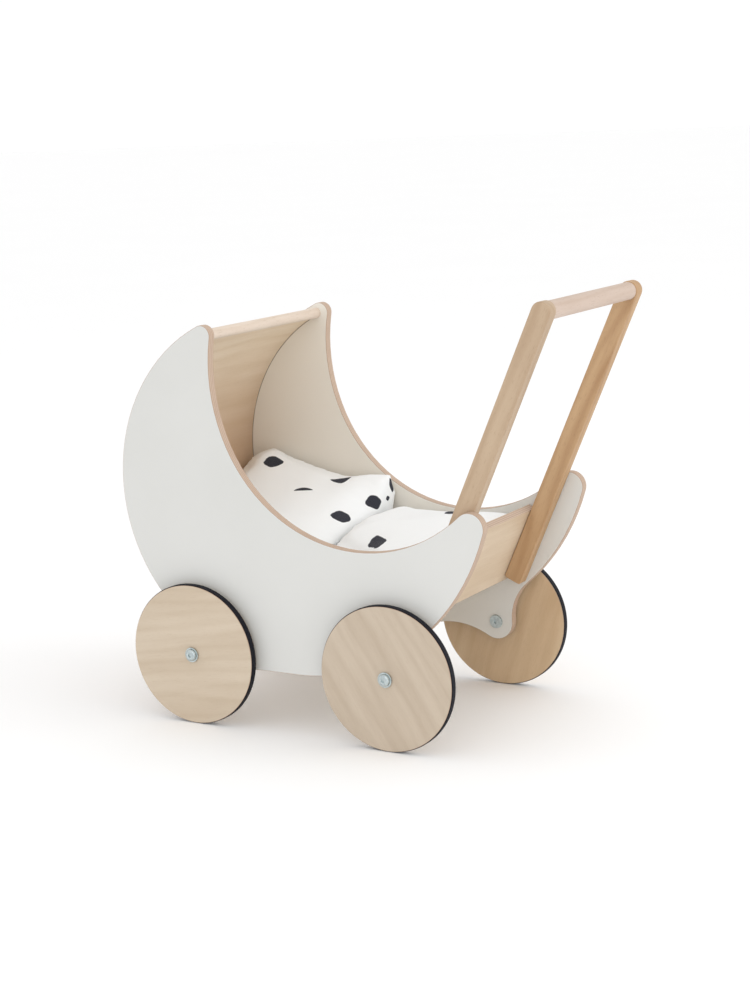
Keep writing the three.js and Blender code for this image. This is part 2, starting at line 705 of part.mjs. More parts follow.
const DOWELS = [
  { joint: 'floor', places: floorDowels, inWood: DOWEL_IN_EDGE },
  { joint: 'rear_board', places: boardDowels, inWood: DOWEL_IN_EDGE },
  { joint: 'arm', places: armDowels, inWood: DOWEL_IN_ARM },
];
for (const { joint, places, inWood } of DOWELS) {
  for (const { word, side } of SIDES) {
    places.forEach((p, i) => {
      const [y0, y1] = span(side, INNER_FACE - inWood, INNER_FACE + DOWEL_IN_PANEL);
      place(`${joint}_dowel_${word}_${i + 1}`,
        roundBar(DOWEL_RADIUS, y0, y1, DOWEL_SIDES, p.x, p.y), 'beech');
    });
  }
}

const AXLES = [{ row: 'front', x: 0 }, { row: 'rear', x: WHEELBASE }];
for (const { row, x } of AXLES) {
  for (const { word, side } of SIDES) {
    const corner = new THREE.Group();
    corner.position.set(x, 0, AXLE_HEIGHT);
    corner.rotation.z = side > 0 ? 0 : Math.PI;
    place(`wheel_${row}_${word}`, wheelDisc(), 'birchPly', corner);
    place(`tyre_${row}_${word}`, tyre(), 'rubber', corner);
    place(`wheel_spacer_${row}_${word}`, wheelSpacer(), 'nylon', corner);
    place(`sleeve_nut_${row}_${word}`, sleeveNut(), 'steel', corner);
    place(`washer_${row}_${word}`, washer(), 'steel', corner);
    place(`axle_bolt_${row}_${word}`, axleBolt(), 'steel', corner);
    pram.add(corner);
  }
}

place('mattress', mattress(), 'cotton');
place('pillow', pillow(), 'cotton');
place('quilt', quilt(), 'cotton');

const extent = new THREE.Box3().setFromObject(pram);
pram.position.set(-(extent.min.x + extent.max.x) / 2, 0, -extent.min.z);
pram.updateMatrixWorld(true);

export default pram;
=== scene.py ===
"""Finished looks for a wooden doll's pram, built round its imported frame.

Every length is in metres, in the frame's axes: +X from the hood to the handle, +Y to the pram's
right-hand side and +Z up, with the origin on the floor under the middle of the pram.
"""

import logging
import math
from dataclasses import dataclass, field
from enum import Enum
from typing import Any, Callable, Iterable, Optional, Union

import bmesh
import bpy
from mathutils import Matrix, Vector, noise


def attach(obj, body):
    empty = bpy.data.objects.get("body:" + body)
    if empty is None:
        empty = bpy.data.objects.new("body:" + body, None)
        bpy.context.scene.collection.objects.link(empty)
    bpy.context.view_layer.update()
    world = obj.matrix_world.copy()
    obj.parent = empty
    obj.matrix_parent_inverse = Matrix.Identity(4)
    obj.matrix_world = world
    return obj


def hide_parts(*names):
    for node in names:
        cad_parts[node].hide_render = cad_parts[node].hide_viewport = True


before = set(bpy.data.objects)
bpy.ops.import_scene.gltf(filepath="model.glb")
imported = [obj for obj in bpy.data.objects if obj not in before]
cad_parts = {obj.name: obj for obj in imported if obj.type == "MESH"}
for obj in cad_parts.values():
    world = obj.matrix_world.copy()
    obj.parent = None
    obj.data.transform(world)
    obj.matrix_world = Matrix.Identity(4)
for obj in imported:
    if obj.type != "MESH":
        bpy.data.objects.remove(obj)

LOG = logging.getLogger("pram")
MM = 0.001
MERGE = 1e-6
FLAT = 0.97
ALONG = Vector((1, 0, 0))
ACROSS = Vector((0, 1, 0))
UPWARD = Vector((0, 0, 1))
SIDES = {"left": -1, "right": 1}
Number = Union["Value", float]
Colour = tuple[float, float, float, float]


# ------------------------------------------------------------------------------------------
# Shader maths
# ------------------------------------------------------------------------------------------


def srgb(red: int, green: int, blue: int) -> Colour:
    """A display colour, 0 to 255, as the linear colour that shaders take."""
    linear = [((c / 255 + 0.055) / 1.055) ** 2.4 if c > 10 else c / 255 / 12.92
              for c in (red, green, blue)]
    return (*linear, 1.0)


class Shader:
    """A node material under construction."""

    def __init__(self, name: str) -> None:
        """Starts an empty node tree called name."""
        self.material = bpy.data.materials.new(name)
        self.material.use_nodes = True
        self.tree = self.material.node_tree
        self.tree.nodes.clear()

    def node(self, kind: str, settings: Optional[dict[str, Any]] = None,
             inputs: Optional[dict[Any, Any]] = None) -> bpy.types.Node:
        """Adds one node.

        Args:
            kind: The node's type, such as "ShaderNodeMath".
            settings: Its properties, which are set first.
            inputs: The value or link of each socket, by name or number.

        Returns:
            The new node.
        """
        made = self.tree.nodes.new(kind)
        for key, value in (settings or {}).items():
            setattr(made, key, value)
        for key, value in (inputs or {}).items():
            if isinstance(value, Value):
                value = value.socket
            if isinstance(value, bpy.types.NodeSocket):
                self.tree.links.new(value, made.inputs[key])
            else:
                made.inputs[key].default_value = value
        return made

    def place(self) -> bpy.types.NodeSocket:
        """The point on the piece, in the frame's axes."""
        return self.node("ShaderNodeTexCoord").outputs["Object"]

    def along(self, direction: Vector, origin: Vector = Vector()) -> "Value":
        """How far the point lies from origin along a direction."""
        offset = self.node("ShaderNodeVectorMath", {"operation": "SUBTRACT"},
                           {0: self.place(), 1: origin})
        dot = self.node("ShaderNodeVectorMath", {"operation": "DOT_PRODUCT"},
                        {0: offset.outputs[0], 1: direction})
        return Value(self, dot.outputs["Value"])

    def vector(self, x: Number, y: Number, z: Number) -> bpy.types.NodeSocket:
        """Three numbers as a vector."""
        return self.node("ShaderNodeCombineXYZ", None, {0: x, 1: y, 2: z}).outputs[0]

    def noise(self, vector: bpy.types.NodeSocket, scale: float = 1.0, detail: float = 3.0,
              roughness: float = 0.5, distortion: float = 0.0) -> "Value":
        """Cloudy noise between 0 and 1."""
        made = self.node("ShaderNodeTexNoise", {"noise_dimensions": "3D"}, {
            "Vector": vector, "Scale": scale, "Detail": detail, "Roughness": roughness,
            "Distortion": distortion})
        return Value(self, made.outputs[0])

    def mix(self, share: Number, first: Any, second: Any) -> bpy.types.NodeSocket:
        """A colour that goes from first to second as share goes from 0 to 1."""
        made = self.node("ShaderNodeMix", {"data_type": "RGBA", "clamp_factor": True},
                         {0: share, 6: first, 7: second})
        return made.outputs[2]

    def bump(self, height: Number, distance: float, strength: float = 1.0) -> bpy.types.NodeSocket:
        """A normal that follows a height between 0 and 1, over a distance in metres."""
        return self.node("ShaderNodeBump", None, {
            "Height": height, "Distance": distance, "Strength": strength}).outputs[0]

    def finish(self, inputs: dict[str, Any]) -> bpy.types.Material:
        """Closes the tree with a Principled shader.

        Args:
            inputs: The values or links of the shader's sockets.

        Returns:
            The finished material.
        """
        surface = self.node("ShaderNodeBsdfPrincipled", None, inputs)
        self.node("ShaderNodeOutputMaterial", None, {0: surface.outputs[0]})
        return self.material


def operator(operation: str, reflected: bool = False) -> Callable[["Value", Number], "Value"]:
    """A method that joins a Value to another operand, which comes first if it is reflected."""
    def method(self: "Value", other: Number) -> "Value":
        """The result of the Math node."""
        return self._math(operation, *((other, self) if reflected else (self, other)))
    return method


class Value:
    """A number in a shader. Arithmetic on it adds Math nodes."""

    def __init__(self, shader: Shader, socket: bpy.types.NodeSocket) -> None:
        """Wraps a socket of the shader's tree."""
        self.shader = shader
        self.socket = socket

    def _math(self, operation: str, *operands: Number) -> "Value":
        """Adds a Math node on the given operands."""
        made = self.shader.node("ShaderNodeMath", {"operation": operation},
                                dict(enumerate(operands)))
        return Value(self.shader, made.outputs[0])

    __add__, __radd__ = operator("ADD"), operator("ADD", reflected=True)
    __sub__, __rsub__ = operator("SUBTRACT"), operator("SUBTRACT", reflected=True)
    __mul__, __rmul__ = operator("MULTIPLY"), operator("MULTIPLY", reflected=True)
    __truediv__, __pow__ = operator("DIVIDE"), operator("POWER")
    larger = operator("MAXIMUM")

    def sine(self) -> "Value":
        """The sine of self, in radians."""
        return self._math("SINE", self)

    def root(self) -> "Value":
        """The square root of self."""
        return self._math("SQRT", self)

    def fade(self, start: float, end: float) -> "Value":
        """0 where self is at start and 1 where it is at end, smooth between."""
        made = self.shader.node("ShaderNodeMapRange", {"interpolation_type": "SMOOTHSTEP"},
                                {0: self, 1: start, 2: end, 3: 0.0, 4: 1.0})
        return Value(self.shader, made.outputs[0])


# ------------------------------------------------------------------------------------------
# Finishes
# ------------------------------------------------------------------------------------------


@dataclass(frozen=True)
class Veneer:
    """The face grain of a board: broad tone, soft growth rings and fine dark pores, with optional
    painted shade that darkens it toward the bottom.
    """

    light: Colour
    dark: Colour
    pore: Colour
    ring_pitch: float
    ring_share: float
    pore_share: float
    roughness: float = 0.5
    # Painted shade: the warm dark colour that a face turns toward the bottom, where shade falls.
    painted_low_shade: Colour = srgb(178, 140, 106)

    def build(self, name: str, grain: Vector, side: Vector,
              shade_heights: Optional[tuple[float, float]] = None) -> bpy.types.Material:
        """Makes the material.

        Args:
            name: The material's name.
            grain: The unit direction of the grain.
            side: A unit direction across the grain, in the board's face.
            shade_heights: The heights where painted shade starts to darken the face and where it is
                darkest.

        Returns:
            The material.
        """
        sh = Shader(name)
        u, v, w = sh.along(grain), sh.along(side), sh.along(grain.cross(side))
        tone = sh.noise(sh.vector(u * 5, v * 38, w * 38), detail=5, roughness=0.6)
        drift = sh.noise(sh.vector(u * 3.5, v * 9, w * 9), detail=2)
        rings = ((v + w * 0.7) * (2 * math.pi / self.ring_pitch) + drift * 26).sine() * 0.5 + 0.5
        streaks = sh.noise(sh.vector(u * 22, v * 420, w * 420), detail=3)
        pores = sh.noise(sh.vector(u * 130, v * 1500, w * 1500), detail=1).fade(0.6, 0.74)
        shade = tone.fade(0.3, 0.72) * 0.55 + rings ** 2 * self.ring_share + streaks * 0.22
        wood = sh.mix(shade, self.light, self.dark)
        # Painted shade: the face darkens toward the bottom, as if shaded.
        if shade_heights is not None:
            height = sh.along(UPWARD) + (drift - 0.5) * 0.05
            wood = sh.mix(height.fade(*shade_heights) * 0.75, wood, self.painted_low_shade)
        colour = sh.mix(pores * self.pore_share, wood, self.pore)
        return sh.finish({
            "Base Color": colour,
            "Roughness": self.roughness + streaks * 0.14,
            "Normal": sh.bump(streaks * 0.6 - pores * 0.4, 0.00012, 0.6)})


@dataclass(frozen=True)
class PlyEdge:
    """The bare edge of a plywood sheet, where its plies show as stripes."""

    light: Colour
    dark: Colour
    glue: Colour

    def build(self, name: str, depth: Callable[[Shader], Value],
              ply: float) -> bpy.types.Material:
        """Makes the material.

        Args:
            name: The material's name.
            depth: Gives how deep a point lies in the sheet, from one of its faces.
            ply: The thickness of one ply.

        Returns:
            The material.
        """
        sh = Shader(name)
        fibre = sh.noise(sh.place(), scale=900, detail=2)
        patch = sh.noise(sh.place(), scale=45, detail=3)
        turn = depth(sh) / ply + (fibre - 0.5) * 0.08
        end_grain = (turn * math.pi).sine().fade(-0.25, 0.25)
        seam = 1 - ((turn * math.pi).sine() ** 2).fade(0.0, 0.12)
        wood = sh.mix(end_grain * 0.7 + fibre * 0.3, self.light, self.dark)
        tinted = sh.mix(patch.fade(0.35, 0.75) * 0.35, wood, self.dark)
        colour = sh.mix(seam * 0.4, tinted, self.glue)
        return sh.finish({
            "Base Color": colour,
            "Roughness": 0.55 + fibre * 0.2,
            "Normal": sh.bump(fibre * 0.5 + end_grain * 0.3, 0.00012, 0.6)})


@dataclass(frozen=True)
class Laminate:
    """A satin white laminate, with the faint pebble of a pressed surface, painted warm bounce light on
    its inner faces and a painted shadow line along the hood sheet's groove.
    """

    clean: Colour
    worn: Colour
    # Painted bounce light: the lighter, warmer colour of the inner faces.
    inner: Colour
    # Painted shadow: the dark colour of the shadowed gap where the hood sheet sits in its groove.
    groove: Colour = srgb(92, 68, 52)

    def build(self, name: str, joint: "Circle", inner_face: float, before: float,
              above: float) -> bpy.types.Material:
        """Makes the material.

        Args:
            name: The material's name.
            joint: The hood sheet's inner face, along which a painted shadow line stands for the shadowed
                gap of its groove.
            inner_face: How far the panels' inner faces are from the middle.
            before: The painted groove shadow ends where X reaches this.
            above: The painted groove shadow ends where Z drops to this.

        Returns:
            The material.
        """
        sh = Shader(name)
        x = sh.along(ALONG, joint.centre)
        z = sh.along(UPWARD, joint.centre)
        y = sh.along(ACROSS)
        # Painted shadow: a thin dark band just inside the hood sheet's inner radius, on the inner faces,
        # stands for the groove's shadowed gap.
        off = joint.radius - (x * x + z * z).root()
        line = off.fade(-0.0002, 0.0) * (1 - off.fade(0.0005, 0.0011))
        inside = 1 - (y * y).root().fade(inner_face + 0.0001, inner_face + 0.0003)
        held = (1 - (x + joint.x).fade(before, before + 0.001)) * (z + joint.z).fade(
            above, above + 0.001)
        cloud = sh.noise(sh.place(), scale=7, detail=4)
        pebble = sh.noise(sh.place(), scale=1300, detail=2)
        weft = sh.noise(sh.vector(sh.along(ALONG) * 900, sh.along(ACROSS) * 900,
                                  sh.along(UPWARD) * 140), detail=2)
        skin = sh.mix(cloud.fade(0.3, 0.75) * 0.5 + pebble * 0.2, self.clean, self.worn)
        # Painted bounce light: inner faces turn lighter and warmer, most under the hood and fading
        # toward the rear.
        hood_bounce_share = 1 - (x + joint.x).fade(-0.05, 0.16) * 0.8
        skin = sh.mix(inside * hood_bounce_share * (1 - cloud * 0.2), skin, self.inner)
        return sh.finish({
            "Base Color": sh.mix(line * inside * held * 0.75, skin, self.groove),
            "Roughness": 0.4 + pebble * 0.12 + cloud * 0.06,
            "Normal": sh.bump(pebble * 0.6 + weft * 0.4, 0.00006, 0.5)})


@dataclass(frozen=True)
class Rubber:
    """Matt black rubber, slightly dusty."""

    base: Colour
    dust: Colour

    def build(self, name: str) -> bpy.types.Material:
        """Makes the material, called name."""
        sh = Shader(name)
        grain = sh.noise(sh.place(), scale=1800, detail=2)
        smear = sh.noise(sh.place(), scale=60, detail=4)
        return sh.finish({
            "Base Color": sh.mix(smear.fade(0.45, 0.8) * 0.35, self.base, self.dust),
            "Specular IOR Level": 0.2,
            "Roughness": 0.5 + grain * 0.25,
            "Normal": sh.bump(grain, 0.00005, 0.5)})


@dataclass(frozen=True)
class ZincPlate:
    """Bright zinc on steel, with fine turning marks round the axle."""

    bright: Colour
    dull: Colour

    def build(self, name: str) -> bpy.types.Material:
        """Makes the material, called name."""
        sh = Shader(name)
        mottle = sh.noise(sh.place(), scale=420, detail=3)
        scratches = sh.noise(sh.place(), scale=2600, detail=2)
        return sh.finish({
            "Base Color": sh.mix(mottle.fade(0.35, 0.7) * 0.6, self.bright, self.dull),
            "Metallic": 1.0,
            "Roughness": 0.24 + mottle * 0.14 + scratches * 0.06,
            "Normal": sh.bump(scratches, 0.00002, 0.4)})


@dataclass(frozen=True)
class Nylon:
    """Natural nylon, slightly cloudy."""

    base: Colour
    deep: Colour

    def build(self, name: str) -> bpy.types.Material:
        """Makes the material, called name."""
        sh = Shader(name)
        cloud = sh.noise(sh.place(), scale=300, detail=3)
        return sh.finish({
            "Base Color": sh.mix(cloud, self.base, self.deep),
            "Roughness": 0.38 + cloud * 0.12,
            "Normal": sh.bump(cloud, 0.00004, 0.4)})


@dataclass(frozen=True)
class Blotch:
    """One inked blotch on the cloth: its middle and half sizes from above, its turn in degrees,
    how far its ends bend, and the middle and half size of its height where it is on a slope."""

    x: float
    y: float
    long: float
    short: float
    turn: float
    bend: float = 0.0
    z: float = 0.2
    tall: float = 1.0


@dataclass(frozen=True)
class Cotton:
    """White woven cotton printed with dark blotches."""

    white: Colour
    shade: Colour
    ink: Colour
    thread: float = 0.0007

    def build(self, name: str, blotches: Iterable[Blotch]) -> bpy.types.Material:
        """Makes the material.

        Args:
            name: The material's name.
            blotches: The print, placed as seen from above.

        Returns:
            The material.
        """
        sh = Shader(name)
        x, y, z = (sh.along(axis) for axis in (ALONG, ACROSS, UPWARD))
        turns = 2 * math.pi / self.thread
        weave = ((x + z * 0.6) * turns).sine() * ((y + z * 0.6) * turns).sine() * 0.5 + 0.5
        slub = sh.noise(sh.vector(x * 60, y * 900, z * 300), detail=2)
        rumple = sh.noise(sh.place(), scale=26, detail=3, distortion=0.6)
        cloth = sh.mix(slub * 0.35 + weave * 0.2, self.white, self.shade)
        wobble = (sh.noise(sh.place(), scale=75, detail=2) - 0.5) * 0.5
        print_mask: Number = 0.0
        for spot in blotches:
            turn = math.radians(spot.turn)
            forward = Vector((math.cos(turn), math.sin(turn), 0))
            sideways = Vector((-math.sin(turn), math.cos(turn), 0))
            middle = Vector((spot.x, spot.y, spot.z))
            a = sh.along(forward, middle) / spot.long
            b = sh.along(sideways, middle) / spot.short + a * a * spot.bend
            c = sh.along(UPWARD, middle) / spot.tall
            reach = ((a * a) ** 0.75 + (b * b) ** 0.75 + (c * c) ** 0.75) ** (1 / 1.5)
            inside = 1 - (reach + wobble).fade(0.98, 1.08)
            print_mask = inside.larger(print_mask)
        return sh.finish({
            "Base Color": sh.mix(print_mask * (0.94 + weave * 0.06), cloth, self.ink),
            "Roughness": 0.86 + weave * 0.1,
            "Specular IOR Level": 0.1,
            "Sheen Weight": 0.05,
            "Sheen Roughness": 0.5,
            "Normal": sh.bump(weave * 0.12 + slub * 0.12 + rumple * 0.8, 0.0016, 0.55)})


class Slot(Enum):
    """The record's material slots."""

    LAMINATE = "white_laminate"
    BIRCH = "birch_ply"
    BEECH = "beech"
    RUBBER = "rubber"
    ZINC = "zinc_steel"
    NYLON = "nylon"
    COTTON = "cotton"


BIRCH = Veneer(srgb(208, 193, 173), srgb(192, 174, 151), srgb(174, 150, 124),
               ring_pitch=0.015, ring_share=0.24, pore_share=0.2)
GREY_BIRCH = Veneer(srgb(200, 185, 166), srgb(182, 165, 145), srgb(166, 144, 120),
                    ring_pitch=0.017, ring_share=0.24, pore_share=0.2)
# Partly a warmer real tone and partly painted shade for the far wheels' shaded inner faces.
WARM_SHADED_BIRCH = Veneer(srgb(212, 187, 154), srgb(190, 160, 124), srgb(156, 122, 90),
                    ring_pitch=0.026, ring_share=0.3, pore_share=0.2)
PALE_BIRCH = Veneer(srgb(238, 222, 200), srgb(220, 199, 170), srgb(190, 160, 128),
                    ring_pitch=0.03, ring_share=0.25, pore_share=0.2)
TAIL_BIRCH = Veneer(srgb(218, 200, 176), srgb(199, 176, 148), srgb(172, 142, 112),
                    ring_pitch=0.03, ring_share=0.25, pore_share=0.2)
BEECH = Veneer(srgb(194, 171, 144), srgb(173, 146, 118), srgb(146, 114, 88),
               ring_pitch=0.011, ring_share=0.3, pore_share=0.35)
# Partly a warmer real tone and partly painted shade for the far arm's shaded inner face.
WARM_SHADED_BEECH = Veneer(srgb(198, 164, 125), srgb(169, 130, 91), srgb(138, 102, 70),
                    ring_pitch=0.013, ring_share=0.35, pore_share=0.35)
PALE_BEECH = Veneer(srgb(226, 211, 196), srgb(208, 188, 168), srgb(172, 142, 118),
                    ring_pitch=0.01, ring_share=0.25, pore_share=0.3)
PINK_BEECH = Veneer(srgb(209, 190, 176), srgb(191, 168, 150), srgb(158, 128, 108),
                    ring_pitch=0.01, ring_share=0.25, pore_share=0.3)
PLY_EDGE = PlyEdge(srgb(206, 184, 164), srgb(180, 153, 132), srgb(140, 112, 92))
# The third colour is painted warm bounce light on the panels' inner faces.
LAMINATE = Laminate(srgb(214, 214, 211), srgb(206, 206, 202), srgb(233, 227, 216))
RUBBER = Rubber(srgb(15, 15, 26), srgb(30, 30, 42))
ZINC = ZincPlate(srgb(198, 208, 209), srgb(162, 174, 177))
NYLON = Nylon(srgb(226, 222, 212), srgb(206, 201, 190))
COTTON = Cotton(srgb(247, 248, 248), srgb(239, 240, 239), srgb(26, 27, 41))
PLIES = 7


def side_edges(name: str, inner: float, thickness: float) -> dict[int, bpy.types.Material]:
    """The plywood edges of a left and a right board, whose inner faces are inner from the middle."""
    return {side: PLY_EDGE.build(f"{name}_{word}",
                                 lambda sh, s=side: sh.along(ACROSS * s, ACROSS * s * inner),
                                 thickness / PLIES)
            for word, side in SIDES.items()}


# ------------------------------------------------------------------------------------------
# Mesh tools
# ------------------------------------------------------------------------------------------


def spin_point(bm: bmesh.types.BMesh, start: bmesh.types.BMVert, centre: Vector, angle: float,
               steps: int) -> bmesh.types.BMVert:
    """Draws an arc of edges about an axis along Y.

    Args:
        bm: The mesh.
        start: The vertex that the arc starts from.
        centre: A point on the axis.
        angle: The sweep in radians, anticlockwise with X to the right and Z up if positive.
        steps: The number of edges.

    Returns:
        The arc's last vertex.
    """
    spun = bmesh.ops.spin(bm, geom=[start], cent=centre, axis=-ACROSS, angle=angle, steps=steps)
    return spun["geom_last"][0]


def bevel_corners(bm: bmesh.types.BMesh, width: float, segments: int = 3,
                  sharper_than: float = 30.0, shortest: float = 0.0) -> None:
    """Rounds every outward corner that is sharper than an angle in degrees."""
    corners = [e for e in bm.edges if e.is_manifold and e.is_convex
               and e.calc_face_angle() > math.radians(sharper_than)
               and e.calc_length() >= shortest]
    bmesh.ops.bevel(bm, geom=corners, offset=width, segments=segments, profile=0.5,
                    affect="EDGES", clamp_overlap=False, material=-1)


def turned(profile: list[tuple[float, float]], steps: int, closed: bool) -> bmesh.types.BMesh:
    """Turns a profile of (radius, y) points about the Y axis.

    Args:
        profile: The points, in order.
        steps: The number of faces round the axis.
        closed: Whether the last point joins the first, as in a ring.

    Returns:
        The solid's mesh.
    """
    bm = bmesh.new()
    points = [bm.verts.new((r, y, 0)) for r, y in profile]
    pairs = list(zip(points, points[1:])) + ([(points[-1], points[0])] if closed else [])
    edges = [bm.edges.new(pair) for pair in pairs]
    bmesh.ops.spin(bm, geom=points + edges, cent=Vector(), axis=ACROSS,
                   angle=2 * math.pi, steps=steps, use_merge=True)
    bmesh.ops.remove_doubles(bm, verts=bm.verts, dist=MERGE)
    bmesh.ops.recalc_face_normals(bm, faces=bm.faces)
    return bm


def outline_solid(bm: bmesh.types.BMesh, y0: float, y1: float) -> None:
    """Fills the mesh's closed outlines at y0 and thickens them to y1."""
    bmesh.ops.remove_doubles(bm, verts=bm.verts, dist=MERGE)
    filled = bmesh.ops.triangle_fill(bm, edges=bm.edges, use_beauty=True, normal=ACROSS)
    faces = [g for g in filled["geom"] if isinstance(g, bmesh.types.BMFace)]
    grown = bmesh.ops.extrude_face_region(bm, geom=faces, use_keep_orig=True)
    far = [g for g in grown["geom"] if isinstance(g, bmesh.types.BMVert)]
    bmesh.ops.translate(bm, verts=far, vec=ACROSS * (y1 - y0))
    bmesh.ops.recalc_face_normals(bm, faces=bm.faces)


@dataclass
class Maker:
    """Turns meshes into named pieces that ride on the pram."""

    made: list[str] = field(default_factory=list)

    def piece(self, bm: bmesh.types.BMesh, name: str, slot: Slot, body: str,
              materials: list[bpy.types.Material], nodes: Iterable[str],
              edge_axis: Optional[Vector] = None, smooth_angle: float = 40.0) -> bpy.types.Object:
        """Finishes one piece.

        Args:
            bm: Its mesh, in place, which is freed.
            name: The piece's name.
            slot: The record's slot that its finish comes from. It is not used.
            body: The body that it rides on.
            materials: Its face material, and then its edge material if it has one.
            nodes: The frame's nodes that it stands for.
            edge_axis: The normal of the faces that keep the face material.
            smooth_angle: The sharpest corner, in degrees, that is shaded smooth.

        Returns:
            The new object.
        """
        if edge_axis is not None:
            for face in bm.faces:
                face.material_index = 0 if abs(face.normal.dot(edge_axis)) > FLAT else 1
        mesh = bpy.data.meshes.new(name)
        bm.to_mesh(mesh)
        bm.free()
        mesh.polygons.foreach_set("use_smooth", [True] * len(mesh.polygons))
        mesh.set_sharp_from_angle(angle=math.radians(smooth_angle))
        for material in materials:
            mesh.materials.append(material)
        piece = bpy.data.objects.new(name, mesh)
        bpy.context.scene.collection.objects.link(piece)
        weighted = piece.modifiers.new("even_shading", "WEIGHTED_NORMAL")
        weighted.keep_sharp = True
        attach(piece, body)
        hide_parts(*nodes)
        self.made.append(name)
        LOG.info("%s: %d faces, on %s", name, len(mesh.polygons), body)
        return piece

    def softened(self, node: str, width: float) -> bmesh.types.BMesh:
        """A copy of a frame node's mesh with its corners rounded by width."""
        bm = bmesh.new()
        bm.from_mesh(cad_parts[node].data)
        bmesh.ops.remove_doubles(bm, verts=bm.verts, dist=2 * MERGE)
        bmesh.ops.dissolve_limit(bm, angle_limit=math.radians(0.4), verts=bm.verts,
                                 edges=bm.edges)
        bevel_corners(bm, width, shortest=10 * width)
        return bm


# ------------------------------------------------------------------------------------------
# Wooden body
# ------------------------------------------------------------------------------------------


@dataclass(frozen=True)
class Circle:
    """A circle of the side view. Its radius is negative where it is a hollow in the wood."""

    x: float
    z: float
    radius: float

    @property
    def centre(self) -> Vector:
        """The middle, with Y at 0."""
        return Vector((self.x, 0, self.z))

    def continued(self, radius: float, turn: float) -> "Circle":
        """The circle that carries this one on smoothly, turn degrees round from its middle."""
        step = abs(radius) - abs(self.radius)
        angle = math.radians(turn)
        return Circle(self.x + step * math.cos(angle), self.z + step * math.sin(angle), radius)

    def touching(self, other: "Circle", radius: float, side: int) -> "Circle":
        """The circle of a radius that touches this one and another. Side 1 or -1 picks one."""
        to_this, to_other = abs(self.radius - radius), abs(other.radius - radius)
        line = other.centre - self.centre
        length = line.length
        along = (length ** 2 + to_this ** 2 - to_other ** 2) / (2 * length)
        off = math.sqrt(to_this ** 2 - along ** 2) * side
        line.normalize()
        middle = self.centre + line * along + Vector((-line.z, 0, line.x)) * off
        return Circle(middle.x, middle.z, radius)

    def meets(self, other: "Circle") -> Vector:
        """The point where this circle runs into the next one."""
        return (other.centre * self.radius - self.centre * other.radius) / (
            self.radius - other.radius)


HANDLE_SLOPE = math.radians(66.3)
FRONT_AXLE = Vector((-0.16281, 0, 0.0763))
REAR_AXLE = Vector((0.07479, 0, 0.0763))
HOOD = Circle(-0.06641, 0.2583, 0.1867)
SHEET_INNER = 0.1745
PANEL_INNER = 0.113
PANEL_OUTER = 0.1225


def angle_of(v: Vector) -> float:
    """The side view's angle of a direction, with X to the right and Z up."""
    return math.atan2(v.z, v.x)


